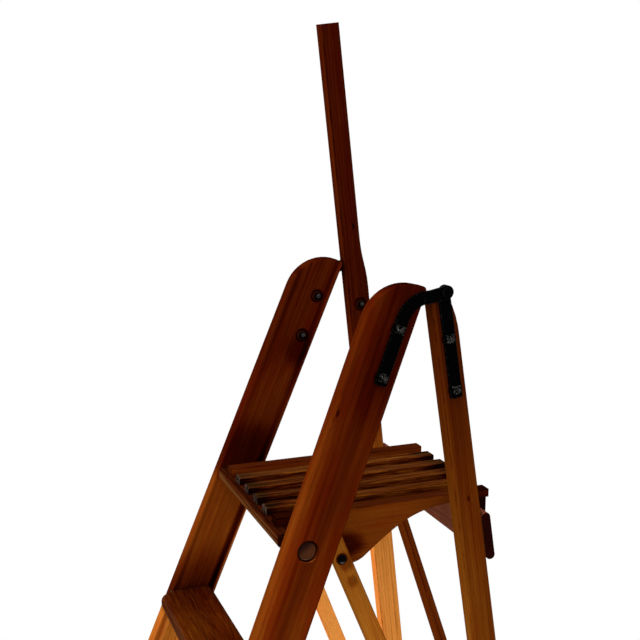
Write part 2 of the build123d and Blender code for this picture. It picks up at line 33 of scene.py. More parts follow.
JOINTS = {joint["name"]: Vector(joint["pos_m"]) for joint in frame["joints"]}
HINGE = JOINTS["rear_fold"]
PIVOT = JOINTS["platform_fold"]
TREAD_LOW, TREAD_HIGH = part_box("tread_4")
PIVOT_LOW, PIVOT_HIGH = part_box("platform_pivot_right")

# Camera, placed from the middle of the hinge line; angles in degrees, sensor and lens in millimetres
CAMERA_FROM_HINGE = Vector((1.4100, -0.6705, 0.2200))
CAMERA_AZIMUTH = 68.819
CAMERA_DIP = 10.568
CAMERA_ROLL = 0.157
SENSOR = 36.0
LENS = 56.36

# Studio: even light from all round, two soft lamps, and a floor that is white further off
WORLD_LEVEL = 0.90
FRONT_LIGHT = dict(place=(0.6, -3.0, 1.3), target=(0, 0, 1.0), size=1.8, watts=22)
TOP_LIGHT = dict(place=(0.7, -0.9, 3.4), target=(0, 0.1, 1.1), size=1.0, watts=30)
FLOOR_RADIUS = 30.0
FLOOR_PAINT = (0.82, 0.82, 0.81, 1)
SHADOW_NEAR = 0.6
SHADOW_FAR = 1.5
WHITE_NEAR = 0.35
WHITE_FAR = 0.985

# Tones of the woods from darkest to lightest, linear: pine reddens as it darkens
PINE = (
    (0.00, (0.0040, 0.0005, 0.0002, 1)),
    (0.20, (0.0360, 0.0029, 0.0004, 1)),
    (0.40, (0.0900, 0.0130, 0.0009, 1)),
    (0.60, (0.1800, 0.0400, 0.0030, 1)),
    (0.80, (0.3900, 0.1180, 0.0110, 1)),
    (1.00, (0.9600, 0.3550, 0.0660, 1)),
)
MAHOGANY = (
    (0.00, (0.0040, 0.0006, 0.0005, 1)),
    (0.30, (0.0250, 0.0036, 0.0028, 1)),
    (0.60, (0.1200, 0.0320, 0.0165, 1)),
    (1.00, (0.2800, 0.0950, 0.0480, 1)),
)
OLD_BROWN = (
    (0.00, (0.0040, 0.0006, 0.0002, 1)),
    (0.25, (0.0260, 0.0034, 0.0006, 1)),
    (0.50, (0.0720, 0.0130, 0.0022, 1)),
    (0.75, (0.1150, 0.0380, 0.0120, 1)),
    (1.00, (0.2000, 0.0900, 0.0380, 1)),
)
SHEEN_TAN = (0.1200, 0.0440, 0.0110, 1)
HIGHLIGHT_GREY = (0.1100, 0.0720, 0.0550, 1)
NOSE_SHEEN = (0.0500, 0.0260, 0.0150, 1)
REDDER = (0.92, 0.52, 0.50, 1)
GRIME_AND_SHADE = (0.0060, 0.0010, 0.0005, 1)
IRON = (0.0004, 0.0004, 0.0004, 1)
IRON_DUSTY = (0.0011, 0.0010, 0.0010, 1)
IRON_RIM = (0.0340, 0.0038, 0.0006, 1)
IRON_BARE_AND_HIGHLIGHT = (0.3000, 0.2900, 0.2750, 1)
PIVOT_SHADED = (0.0120, 0.0026, 0.0008, 1)
PIVOT_LIT = (0.0680, 0.0185, 0.0055, 1)
PIVOT_RIM_HIGHLIGHT = (0.3600, 0.2200, 0.1400, 1)
STEEL = (0.1200, 0.1050, 0.0900, 1)
WHITE = (1, 1, 1, 1)

# Noise in a board: features per metre along, across and through it, then detail and roughness
WANDER = ((1.8, 10, 10), 1.0, 0.5)
FINE = ((12, 220, 220), 2.0, 0.5)
PATCHES = ((2.6, 24, 24), 3.0, 0.55)
STREAKS = ((4.5, 160, 160), 4.0, 0.65)
FIBRES = ((45, 1300, 1300), 2.0, 0.6)
FLECKS = ((70, 600, 600), 2.0, 0.6)
SCUFFS = ((22, 330, 330), 3.0, 0.7)
RUBS = ((30, 60, 60), 3.0, 0.7)
BLUSHES = ((6, 34, 34), 3.0, 0.6)

# How far that noise moves from one board to the next, so that no two are alike
DRIFT = (3.7, 1.9, 2.3)

# Noise in metal, on the frame's axes
COAT = ((260, 260, 260), 4.0, 0.6)
CHIPS = ((420, 420, 420), 3.0, 0.7)
CHIPS_OFFSET = (5, 9, 2)
SCRATCHES_AND_GLINTS = ((300, 520, 300), 3.0, 0.75)
SCRATCHES_AND_GLINTS_OFFSET = (1, 4, 7)
STEEL_SKIN = ((170, 170, 170), 4.0, 0.65)
PIVOT_SKIN = ((240, 240, 240), 4.0, 0.65)

# Heights of the bumps, and the shares of rings and fibres in those of wood
GRAIN_RELIEF = 0.0003
RING_RELIEF = 0.5
FIBRE_RELIEF = 0.6
COAT_RELIEF = 0.0007
STEEL_RELIEF = 0.0005
PIVOT_RELIEF = 0.0004

# Reach of rubbed edges on iron, which are also painted highlights, and of dirt and painted shade in the
# corners of metal
IRON_EDGE = 0.0010
STEEL_DIRT_AND_SHADE = 0.006
PIVOT_DIRT_AND_SHADE = 0.008
CREVICE_SAMPLES = 8
EDGE_SAMPLES = 6

# Growth rings: how far they run out across per metre along, how ragged they are, and the faintest year
RUNOUT = 0.010
RAGGED_YEAR = 0.4
FAINT_YEAR = 0.3

# Varnish: roughness at its least and how far it varies
ROUGH_LEAST = 0.35
ROUGH_RANGE = 0.2

# Marks in the wood, with the painted light at the foot, painted shade above tread_4, and dirt with painted
# shade in corners
FOOT_LIGHT = TREAD_LOW.z + 0.01
FOOT_FADE = 0.03
SHADE_POOL_HEIGHT = 0.10
FIBRE_TONE = 0.08
KNOT_TONE = 0.22
KNOT_SQUASH = 0.45
STAIN_SQUASH = 0.7
WAVER = 0.010
LOW_BAND_FADE = 0.04
BOLT_SETS = ("stile_hinge_bolts", "leg_hinge_bolts", "link_foot_bolts")
BOLT_STAIN_AND_SHADE = (0.002, 0.010)
BOLT_STAIN_AND_SHADE_TONE = -0.20
BOLT_STAIN_AND_SHADE_RAGGED = 0.006
BOLT_CLEAN_AND_UNSHADED = (0.006, 0.011)
RIM_INNER = 0.0028
RIM_OUTER = 0.0006
ARRIS_RADIUS = 0.0022
DIRT_AND_SHADE_REACH = 0.025
DIRT_AND_SHADE_SHARE = 0.9

# Pivot heads, each sunk in a round recess of a stile, whose mouth is painted lighter where it faces up, as
# lit from above
HEAD_RADIUS = (PIVOT_HIGH.z - PIVOT_LOW.z) / 2
RECESS_GAP = 0.0025
MOUTH_INNER = 0.0026
MOUTH_OUTER = 0.0012
MOUTH_FACING = (0, 0.2, 0.98)

UP = (0, 0, 1)
FRONT = (0, -1, 0)
TOP_AND_FRONT = (0, -1, 1)
UNDER_FRONT = (0, -0.8, -0.6)

# What a board looks like unless BOARDS says otherwise. Tones run from 0, darkest, to 1, and most other
# values are changes of tone. Places are metres from the board's middle, along and across it.
PLAIN_BOARD = dict(
    tones=PINE,
    high=0.30,  # tone high on the steps
    low=0.50,  # tone low on the steps
    foot=None,  # tone below tread_4, if it differs: painted light
    turn=(-0.15, 0.30),  # heights from the pivot between which low turns to high
    shade_pool=0.0,  # painted shade: change from the top of tread_4 down to the foot's tone, fading out above it
    pith=(0.04, 0.05),  # place of the pith line, across and through
    tilt=0.008,  # slope of the pith line
    ring=0.0040,  # width of a year
    curl=0.020,  # how far the rings wander
    figure=0.06,  # depth of the rings
    patch=0.09,  # depth of the slow patches
    knots=(),  # along, across, size
    stains=(),  # along, across, size, change
    lines=(),  # bands along the board: across, half width, change
    low_lines=(),  # the same, below the pivot only
    slope=0.0,  # change per metre along the board
    ends=-0.10,  # change on the end grain
    rim=(-0.02, -0.20),  # change near the long edges, least and most
    arris=-0.16,  # change on sharp edges
    top=None,  # tone, in old brown, of the sides that face up and forward, if they differ
    grime=(0.35, 0.95),  # how deep in a corner dirt and painted shade begin, and where they are full
    flecks=0.10,  # depth of the short dark flecks
    streaks=0.26,  # depth of the long streaks
    scuffs=0.0,  # depth of the scuffs
    recess=0.0,  # painted light on the mouth of the pivot's recess, where it faces up
    redness=0.55,  # share of red in the redder patches
    yellow=1.0,  # factor on green and blue
    worn=(),  # direction with painted sheen, highlight and shade, its colour, share
)
SLAT_END = ((0.172, -0.004, 0.030, -0.30), (0.172, 0.006, 0.024, -0.20))
SLAT_FRONT = ((-0.180, -0.006, 0.030, -0.22), (-0.180, 0.008, 0.026, -0.20))
SLAT = dict(
    high=0.33,
    low=0.33,
    tilt=0.03,
    patch=0.28,
    streaks=0.70,
    flecks=0.34,
    scuffs=1.30,
    slope=0.28,
    ends=-0.05,
    # painted highlight: rims lighter along the slats' top arrises
    rim=(0.04, 0.14),
    arris=0.0,
    grime=(0.10, 0.60),
    redness=0.3,
    yellow=1.3,
    stains=SLAT_END + SLAT_FRONT,
    # painted sheen on the tops, and a painted highlight on the rounded front ends
    worn=((UP, SHEEN_TAN, 0.4), (FRONT, HIGHLIGHT_GREY, 0.45)),
)
TREAD = dict(
    high=0.39,
    low=0.39,
    pith=(0.010, -0.022),
    tilt=0.10,
    ring=0.0060,
    curl=0.11,
    figure=0.08,
    patch=0.22,
    flecks=0.18,
    scuffs=0.55,
    grime=(0.20, 0.80),
    yellow=1.3,
    lines=((0.046, 0.007, -0.25),),
    stains=((-0.150, 0.020, 0.080, -0.10), (0.060, 0.030, 0.070, -0.06)),
    # painted sheen: the nose greyer where it faces forward
    worn=((FRONT, NOSE_SHEEN, 0.6),),
)
RAIL = dict(tones=MAHOGANY, high=0.72, low=0.72, ends=-0.58, redness=0.2)
BOARDS = {
    "stile_right": dict(
        high=0.24,
        low=0.50,
        turn=(-0.15, 0.25),
        pith=(0.015, -0.075),
        patch=0.16,
        lines=((-0.042, 0.032, 0.15), (0.004, 0.014, -0.05)),
        knots=((-0.598, -0.030, 0.003),),
        stains=((-0.560, 0.008, 0.060, 0.06),),
        scuffs=0.10,
        recess=0.55,
        redness=0.85,
        yellow=0.92,
    ),
    "stile_left": dict(
        high=0.30,
        # painted light and shade: lit below the platform and below tread_4, shaded above the pivot and just
        # above tread_4
        low=0.60,
        foot=0.83,
        turn=(-0.012, 0.022),
        shade_pool=-0.29,
        pith=(-0.05, 0.07),
        patch=0.12,
        lines=((0.030, 0.006, -0.15), (0.041, 0.006, 0.14), (-0.029, 0.004, -0.09)),
        low_lines=((0.029, 0.009, -0.24), (0.040, 0.006, 0.16)),
        stains=(
            (-0.640, 0.019, 0.026, -0.14),
            (-0.545, -0.002, 0.060, 0.10),
            (-0.455, 0.000, 0.045, -0.16),
        ),
        scuffs=0.10,
        recess=0.55,
        grime=(0.20, 0.80),
        redness=0.85,
        yellow=0.95,
    ),
    "rear_leg_right": dict(
        high=0.30,
        low=0.52,
        pith=(-0.05, 0.03),
        patch=0.11,
        lines=((-0.021, 0.008, 0.10),),
        knots=((-0.433, 0.001, 0.0025),),
        redness=0.4,
        yellow=1.25,
    ),
    "rear_leg_left": dict(
        high=0.22,
        # painted light: its foot is toned far lighter, where the light falls on it
        low=0.93,
        pith=(0.35, 0.02),
        ring=0.0050,
        lines=((-0.024, 0.010, 0.10),),
        knots=((-0.609, 0.002, 0.0025),),
    ),
    "link_right": dict(
        high=0.71,
        low=0.73,
        pith=(0.06, 0.03),
        patch=0.14,
        stains=((-0.383, 0.004, 0.013, -0.20), (-0.350, 0.002, 0.009, -0.16)),
        scuffs=0.12,
        redness=0.3,
        yellow=1.15,
    ),
    # painted light: toned lightest, where the light falls on it
    "link_left": dict(high=1.02, low=1.02, pith=(-0.05, 0.04), redness=0.3),
    "platform_side_right": dict(
        high=0.54,
        low=0.54,
        pith=(0.12, 0.02),
        tilt=0.04,
        ring=0.003,
        curl=0.05,
        figure=0.10,
        patch=0.12,
        top=0.50,
        # painted shadow: the first stain is the link's shadow on the side board
        stains=(
            (-0.068, -0.012, 0.024, -0.36),
            (0.170, 0.040, 0.035, -0.30),
            (-0.165, 0.035, 0.040, -0.34),
        ),
    ),
    "platform_side_left": dict(
        high=0.46,
        low=0.46,
        pith=(0.12, 0.02),
        ring=0.003,
        top=0.46,
        stains=SLAT_END,
    ),
    "front_crosspiece": dict(
        tones=OLD_BROWN,
        high=0.33,
        low=0.33,
        patch=0.20,
        scuffs=0.70,
        rim=(0.02, 0.10),
        # painted shade on its top, under the slat ends, and a painted highlight along its lower front arris
        worn=((UP, GRIME_AND_SHADE, 0.7), (UNDER_FRONT, SHEEN_TAN, 0.8)),
        stains=((-0.105, 0.003, 0.0035, -0.4), (0.081, 0.0, 0.0035, -0.4)),
    ),
    "rear_rail_upper": RAIL,
    "rear_rail_lower": RAIL,
    "rear_batten": dict(tones=MAHOGANY, high=0.22, low=0.22),
    "rear_brace": dict(high=0.46, low=0.48),
    **{f"slat_{number}": SLAT for number in range(1, 5)},
    **{f"tread_{number}": TREAD for number in range(1, 5)},
}

# Paints: shares of bare iron on edges and in scars, also painted highlights and glints, and gloss. A shine,
# with the side that it is on, marks a domed head with a painted highlight there, and the head is browned
# round its rim.
PAINTED = dict(edges=0.14, scars_and_glints=0.0, gloss=0.004)
SCARRED_AND_GLINTING = dict(edges=0.40, scars_and_glints=0.55, gloss=0.01)
DULL_HEAD = dict(edges=0.10, scars_and_glints=0.04, gloss=0.0, shine=0.18, side=(0.97, 0.20, 0.10))
CAPPED_HEAD = dict(edges=0.10, scars_and_glints=0.04, gloss=0.01, shine=0.4, side=(0.85, 0.0, -0.52))


class Shader:
    """The node tree of one material, with short ways to add to it."""

    def __init__(self, name):
        self.material = bpy.data.materials.new(name)
        self.material.use_nodes = True
        self.tree = self.material.node_tree
        self.surface = self.tree.nodes["Principled BSDF"]
        coordinates = self.node("TexCoord").outputs
        self.place = coordinates["Object"]
        self.normal = coordinates["Normal"]

    def node(self, kind, inputs=None, **settings):
        made = self.tree.nodes.new("ShaderNode" + kind)
        for name, value in settings.items():
            setattr(made, name, value)
        for socket, value in (inputs or {}).items():
            self.feed(made.inputs[socket], value)
        return made

    def feed(self, socket, value):
        if isinstance(value, bpy.types.NodeSocket):
            self.tree.links.new(value, socket)
        else:
            socket.default_value = value

    def math(self, operation, *values):
        return self.node("Math", dict(enumerate(values)), operation=operation).outputs[0]

    def dot(self, vector, direction):
        inputs = {0: vector, 1: direction}
        return self.node("VectorMath", inputs, operation="DOT_PRODUCT").outputs["Value"]

    def length(self, vector):
        return self.node("VectorMath", {0: vector}, operation="LENGTH").outputs["Value"]

    def stretch(self, vector, scale, offset=(0, 0, 0)):
        inputs = {0: vector, 1: scale, 2: offset}
        return self.node("VectorMath", inputs, operation="MULTIPLY_ADD").outputs[0]

    def noise(self, vector, kind, offset=(0, 0, 0)):
        """Noise of a kind: features per metre on each axis, then detail and roughness."""
        scale, detail, roughness = kind
        inputs = {"Vector": self.stretch(vector, scale, offset), "Scale": 1.0}
        inputs.update(Detail=detail, Roughness=roughness)
        return self.node("TexNoise", inputs).outputs[0]

    def fade(self, value, low, high, to_low=0.0, to_high=1.0):
        inputs = {0: value, 1: low, 2: high, 3: to_low, 4: to_high}
        return self.node("MapRange", inputs, interpolation_type="SMOOTHSTEP").outputs[0]

    def sway(self, base, noise, amount):
        """The base, moved up or down by noise about its middle."""
        return self.math("MULTIPLY_ADD", self.math("SUBTRACT", noise, 0.5), amount, base)

    def blend(self, share, first, second, mode="MIX"):
        inputs = {0: share, 6: first, 7: second}
        return self.node("Mix", inputs, data_type="RGBA", blend_type=mode).outputs[2]

    def ramp(self, value, stops):
        ramp = self.node("ValToRGB", {0: value})
        elements = ramp.color_ramp.elements
        while len(elements) < len(stops):
            elements.new(0.5)
        for element, (position, colour) in zip(elements, stops):
            element.position = position
            element.color = colour
        return ramp.outputs[0]

    def bump(self, height, distance):
        bump = self.node("Bump", {"Height": height, "Distance": distance})
        self.feed(self.surface.inputs["Normal"], bump.outputs[0])

    def set(self, **values):
        for name, value in values.items():
            self.feed(self.surface.inputs[name.replace("_", " ")], value)

    def crevice(self, distance):
        """1 in corners and under neighbours, 0 in the open."""
        open_share = self.node("AmbientOcclusion", {"Distance": distance}, samples=CREVICE_SAMPLES)
        return self.math("SUBTRACT", 1.0, open_share.outputs["AO"])

    def edge(self, radius, low, high):
        """1 along sharp edges, 0 on the flat."""
        bevel = self.node("Bevel", {"Radius": radius}, samples=EDGE_SAMPLES).outputs[0]
        flat = self.node("NewGeometry").outputs["Normal"]
        return self.fade(self.dot(bevel, flat), high, low)

    def facing(self, direction, low, high, most=1.0):
        """The most on surfaces that face a direction, 0 on the others."""
        return self.fade(self.dot(self.normal, direction), low, high, 0.0, most)

    def from_axis(self, centre):
        """Distance from the cross-wise axis through a point, such as a bolt's."""
        return self.length(self.stretch(self.place, (0, 1, 1), (0, -centre.y, -centre.z)))


class Board(Shader):
    """Old varnished wood: what is on a board, painted light and shade among it, adds to one tone, and the
    tone sets its colour.
    """

    def __init__(self, node, seed, look):
        super().__init__(node.name + "_wood")
        self.look = look
        self.matrix = board_matrix(node)
        self.half = half_sizes(node, self.matrix)
        mapping = {"Vector": self.place, "Location": self.matrix.translation}
        mapping["Rotation"] = self.matrix.to_euler()
        self.board = self.node("Mapping", mapping, vector_type="TEXTURE").outputs[0]
        self.drift = tuple(step * seed for step in DRIFT)
        self.height = self.node("SeparateXYZ", {0: self.place}).outputs["Z"]
        self.patch = self.grain(PATCHES)
        self.streak = self.grain(STREAKS)
        self.fibre = self.grain(FIBRES)
        self.late, self.knot = self.rings()
        self.dirty_and_shaded = DIRT_AND_SHADE_SHARE
        self.tone = self.ground()

    def grain(self, kind, drift=None):
        return self.noise(self.board, kind, drift or self.drift)

    def from_mark(self, along, across, squash):
        """Distance from a place on the board, with lengths along the grain squashed."""
        return self.length(self.stretch(self.board, (squash, 1, 0), (-squash * along, -across, 0)))

    def rings(self):
        """Dark late wood in rings about a pith line, bent by slow noise, and the knots they swell round."""
        look = self.look
        side = self.sway(self.dot(self.board, (RUNOUT, 1, 0)), self.grain(WANDER), look["curl"])
        side = self.math("SUBTRACT", side, look["pith"][0])
        depth = self.math("SUBTRACT", self.dot(self.board, (look["tilt"], 0, 1)), look["pith"][1])
        radius = self.length(self.node("CombineXYZ", {0: side, 1: depth}).outputs[0])
        knot = 0.0
        for along, across, size in look["knots"]:
            gap = self.from_mark(along, across, KNOT_SQUASH)
            radius = self.math("ADD", radius, self.fade(gap, 0.3 * size, 4.5 * size, 2.0 * size, 0.0))
            knot = self.math("MAXIMUM", knot, self.fade(gap, 0.45 * size, 1.1 * size, 1.0, 0.0))
        years = self.math("DIVIDE", radius, look["ring"])
        years = self.math("MULTIPLY_ADD", self.grain(FINE), RAGGED_YEAR, years)
        part = self.math("FRACT", years)
        late = self.math("MULTIPLY", self.fade(part, 0.3, 0.85), self.fade(part, 0.88, 1.0, 1.0, 0.0))
        year = {"W": self.math("FLOOR", years)}
        luck = self.node("TexWhiteNoise", year, noise_dimensions="1D").outputs[0]
        strength = self.math("MULTIPLY_ADD", luck, 1 - FAINT_YEAR, FAINT_YEAR)
        return self.math("MULTIPLY", late, strength), knot

    def ground(self):
        """Tone of the varnish, with painted light and shade: darkest high up, in painted shade, and light
        at the feet, where the light falls.
        """
        look = self.look
        low, high = (PIVOT.z + step for step in look["turn"])
        tone = self.fade(self.height, low, high, look["low"], look["high"])
        # painted shade just above tread_4, where the tread shades the stile
        if look["shade_pool"]:
            shade_pool = self.fade(self.height, TREAD_HIGH.z, TREAD_HIGH.z + SHADE_POOL_HEIGHT, look["shade_pool"], 0.0)
            tone = self.math("ADD", tone, shade_pool)
        if look["foot"]:
            lighter = look["foot"] - look["low"] - look["shade_pool"]
            foot = self.fade(self.height, FOOT_LIGHT - FOOT_FADE, FOOT_LIGHT, lighter, 0.0)
            tone = self.math("ADD", tone, foot)
        return self.math("MULTIPLY_ADD", self.dot(self.board, (1, 0, 0)), look["slope"], tone)

    def change(self, share, amount):
        """Adds a share of an amount to the tone."""
        self.tone = self.math("MULTIPLY_ADD", share, amount, self.tone)

    def add_grain(self):
        look = self.look
        for noise, amount in (
            (self.patch, 2 * look["patch"]),
            (self.streak, look["streaks"]),
            (self.fibre, FIBRE_TONE),
        ):
            self.tone = self.sway(self.tone, noise, amount)
        if look["scuffs"]:
            self.tone = self.sway(self.tone, self.grain(SCUFFS), look["scuffs"])
        self.change(self.fade(self.grain(FLECKS), 0.64, 0.74), -look["flecks"])
        self.change(self.late, -look["figure"])
        self.change(self.knot, -KNOT_TONE)

    def add_stains(self):
        for along, across, size, change in self.look["stains"]:
            gap = self.from_mark(along, across, STAIN_SQUASH)
            ragged = self.math("MULTIPLY_ADD", self.patch, -size, gap)
            self.change(self.fade(ragged, -0.2 * size, 0.6 * size, 1.0, 0.0), change)

    def add_bolts(self, bolts):
        """A dark ring in the wood round each bolt, a stain with painted shade, which takes the place of the
        dirty and shaded corner there.
        """
        for bolt in bolts:
            gap = self.math("MULTIPLY_ADD", self.streak, -BOLT_STAIN_AND_SHADE_RAGGED, self.from_axis(bolt))
            # stain and painted shade: a dark ring round the bolt's head
            self.change(self.fade(gap, *BOLT_STAIN_AND_SHADE, 1.0, 0.0), BOLT_STAIN_AND_SHADE_TONE)
            self.dirty_and_shaded = self.math("MULTIPLY", self.dirty_and_shaded, self.fade(gap, *BOLT_CLEAN_AND_UNSHADED, 0.1, 1.0))

    def add_bands(self):
        """Straight bands along the board, darker and lighter, some of them only below the platform's pivot.
        """
        wavering = self.sway(self.dot(self.board, (0, 1, 0)), self.patch, WAVER)
        below = self.fade(self.height, PIVOT.z, PIVOT.z + LOW_BAND_FADE, 1.0, 0.0)
        bands = [(1.0, band) for band in self.look["lines"]]
        bands += [(below, band) for band in self.look["low_lines"]]
        for share, (middle, width, change) in bands:
            gap = self.math("ABSOLUTE", self.math("SUBTRACT", wavering, middle))
            self.change(share, self.fade(gap, 0.35 * width, width, change, 0.0))

    def add_edges(self):
        """Darker end grain and arrises, the slats' rims lighter as painted highlight, and the mouth of a
        recess painted lighter where it faces up, as lit.
        """
        look = self.look
        ends = self.math("ABSOLUTE", self.dot(self.normal, self.matrix.col[0].xyz))
        self.change(self.fade(ends, 0.6, 0.95), look["ends"])
        apart = self.node("VectorMath", {0: self.board}, operation="ABSOLUTE").outputs[0]
        apart = self.node("SeparateXYZ", {0: apart}).outputs
        if look["recess"]:
            self.add_recess(apart["Z"])
        rim_y = self.fade(apart["Y"], self.half[1] - RIM_INNER, self.half[1] - RIM_OUTER)
        rim_z = self.fade(apart["Z"], self.half[2] - RIM_INNER, self.half[2] - RIM_OUTER)
        rubbed_and_lit = self.fade(self.grain(RUBS), 0.35, 0.7, *look["rim"])
        self.change(self.math("MULTIPLY", rim_y, rim_z), rubbed_and_lit)
        self.change(self.edge(ARRIS_RADIUS, 0.90, 0.995), look["arris"])

    def add_recess(self, depth):
        reach = HEAD_RADIUS + RECESS_GAP
        inside = self.fade(self.from_axis(PIVOT), reach, reach + RECESS_GAP, 1.0, 0.0)
        # painted light on the recess wall that faces up, and no corner darkening inside the recess
        lit = self.math("MULTIPLY", inside, self.facing(MOUTH_FACING, 0.3, 0.8))
        mouth = (self.half[2] - MOUTH_INNER, self.half[2] - MOUTH_OUTER)
        self.change(lit, self.fade(depth, *mouth, -0.05, self.look["recess"]))
        self.dirty_and_shaded = self.math("MULTIPLY", self.dirty_and_shaded, self.math("SUBTRACT", 1.0, inside))

    def colour(self):
        """Colour of the tone, with redder patches, a painted sheen, highlights and shade on faces that look
        one way, and dark corners that are dirty and in painted shade.
        """
        look = self.look
        colour = self.ramp(self.tone, look["tones"])
        if look["top"] is not None:
            upper = self.ramp(self.math("ADD", self.tone, look["top"] - look["low"]), OLD_BROWN)
            colour = self.blend(self.facing(TOP_AND_FRONT, 0.5, 0.8), colour, upper)
        aside = (self.drift[2], self.drift[0], self.drift[1])
        blush = self.fade(self.grain(BLUSHES, aside), 0.46, 0.66, 0.0, look["redness"])
        colour = self.blend(blush, colour, REDDER, "MULTIPLY")
        colour = self.blend(1.0, colour, (1, look["yellow"], look["yellow"], 1), "MULTIPLY")
        # painted light: a sheen, highlight and shade, in streaks, on the faces that look one way
        for direction, tint, share in look["worn"]:
            wear_and_painted_light = self.fade(self.streak, 0.40, 0.58, 0.1 * share, share)
            wear_and_painted_light = self.math("MULTIPLY", self.facing(direction, 0.35, 0.85), wear_and_painted_light)
            colour = self.blend(wear_and_painted_light, colour, tint)
        # dirt and painted shade, darker where the corners are occluded
        dirt_and_shade = self.fade(self.crevice(DIRT_AND_SHADE_REACH), *look["grime"], 0.0, self.dirty_and_shaded)
        return self.blend(dirt_and_shade, colour, GRIME_AND_SHADE)

    def finish(self):
        self.set(Base_Color=self.colour(), Specular_IOR_Level=0.0)
        self.set(Roughness=self.math("MULTIPLY_ADD", self.streak, ROUGH_RANGE, ROUGH_LEAST))
        relief = self.math("MULTIPLY", self.fibre, FIBRE_RELIEF)
        relief = self.math("MULTIPLY_ADD", self.late, RING_RELIEF, relief)
        self.bump(relief, GRAIN_RELIEF)


def board_axes(node):
    """Unit length, breadth and thickness of a board, from its longest arris and broadest side."""
    mesh = node.data
    beside = {}
    areas = {}
    for face in mesh.polygons:
        facing = tuple(round(part, 1) for part in face.normal)
        areas[facing] = areas.get(facing, 0) + face.area
        for key in face.edge_keys:
            beside.setdefault(key, []).append(face.normal)

    def is_arris(normals):
        return len(normals) == 1 or normals[0].angle(normals[1]) > math.radians(2)

    def run(key):
        return mesh.vertices[key[1]].co - mesh.vertices[key[0]].co

    longest = max((key for key in beside if is_arris(beside[key])), key=lambda key: run(key).length)
    along = run(longest).normalized()
    if along.dot(Vector((1, 1, -1))) < 0:
        along.negate()
    broad = Vector(max(areas, key=areas.get))
    thick = (broad - along * broad.dot(along)).normalized()
    if thick.dot(Vector((1, 0.5, 0.25))) < 0:
        thick.negate()
    return along, thick.cross(along), thick


def board_matrix(node):
    """Rest place of a board's own axes: x along the grain, y across, z through its thickness."""
    low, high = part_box(node.name)
    axes = Matrix(board_axes(node)).transposed().to_4x4()
    return Matrix.Translation((low + high) / 2) @ axes


def half_sizes(node, matrix):
    inverse = matrix.inverted()
    corners = [inverse @ vertex.co for vertex in node.data.vertices]
    return [max(abs(corner[axis]) for corner in corners) for axis in range(3)]


def shell_centres(node):
    """Middle of each separate shell in a node, such as each bolt of a set."""
    mesh = node.data
    leader = list(range(len(mesh.vertices)))

    def lead(vertex):
        while leader[vertex] != vertex:
            vertex = leader[vertex]
        return vertex

    for first, second in mesh.edge_keys:
        leader[lead(first)] = lead(second)
    shells = {}
    for vertex in mesh.vertices:
        shells.setdefault(lead(vertex.index), []).append(vertex.co)
    return [sum(points, Vector()) / len(points) for points in shells.values()]


def bolts_through(node, bolts):
    """Places of the hinge and link bolts that pass through a board."""
    low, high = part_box(node.name)
    return [bolt for bolt in bolts if all(low[axis] < bolt[axis] < high[axis] for axis in range(3))]


def varnished_wood(node, seed, bolts, changes):
    wood = Board(node, seed, {**PLAIN_BOARD, **changes})
    wood.add_grain()
    wood.add_stains()
    wood.add_bolts(bolts_through(node, bolts))
    wood.add_bands()
    wood.add_edges()
    wood.finish()
    return wood.material


def painted_iron(name, edges, scars_and_glints, gloss, shine=0.0, side=None):
    """Black paint brushed thick over iron, bright on the edges and in scratches; these bright marks are
    also painted highlights and glints, and a shine is a painted highlight.
    """
    shader = Shader(name)
    coat = shader.noise(shader.place, COAT)
    chips = shader.noise(shader.place, CHIPS, CHIPS_OFFSET)
    scratch_and_glint = shader.noise(shader.place, SCRATCHES_AND_GLINTS, SCRATCHES_AND_GLINTS_OFFSET)
    rubbed_and_lit = shader.fade(chips, 0.48, 0.60, 0.0, edges)
    rubbed_and_lit = shader.math("MULTIPLY", shader.edge(IRON_EDGE, 0.80, 0.995), rubbed_and_lit)
    wear_and_painted_light = shader.math("MAXIMUM", rubbed_and_lit, shader.fade(scratch_and_glint, 0.56, 0.66, 0.0, scars_and_glints))
    colour = shader.blend(shader.fade(coat, 0.4, 0.75), IRON, IRON_DUSTY)
    if shine:
        # painted highlight on one side of a domed head
        painted_highlight = shader.facing(side, 0.90, 0.99, shine)
        painted_highlight = shader.math("MULTIPLY", painted_highlight, shader.fade(chips, 0.35, 0.6))
        wear_and_painted_light = shader.math("MAXIMUM", wear_and_painted_light, painted_highlight)
    colour = shader.blend(wear_and_painted_light, colour, IRON_BARE_AND_HIGHLIGHT)
    if shine:
        level = shader.math("ABSOLUTE", shader.dot(shader.normal, (1, 0, 0)))
        rim = shader.fade(level, 0.62, 0.76, 1.0, 0.0)
        rim = shader.math("MULTIPLY", rim, shader.fade(level, 0.25, 0.45))
        colour = shader.blend(rim, colour, IRON_RIM)
    shader.set(Base_Color=colour, Roughness=shader.fade(coat, 0.3, 0.7, 0.30, 0.55))
    shader.set(Specular_IOR_Level=gloss)
    shader.bump(coat, COAT_RELIEF)
    return shader.material


def old_steel(name):
    """Dull steel with a darker, uneven skin."""
    shader = Shader(name)
    skin = shader.noise(shader.place, STEEL_SKIN)
    tint = shader.blend(shader.fade(skin, 0.35, 0.7), STEEL, IRON)
    # dirt and painted shade in the corners
    tint = shader.blend(shader.fade(shader.crevice(STEEL_DIRT_AND_SHADE), 0.3, 0.9), tint, GRIME_AND_SHADE)
    shader.set(Base_Color=tint, Roughness=shader.fade(skin, 0.3, 0.7, 0.35, 0.6))
    shader.set(Metallic=1.0, Specular_IOR_Level=0.3)
    shader.bump(skin, STEEL_RELIEF)
    return shader.material


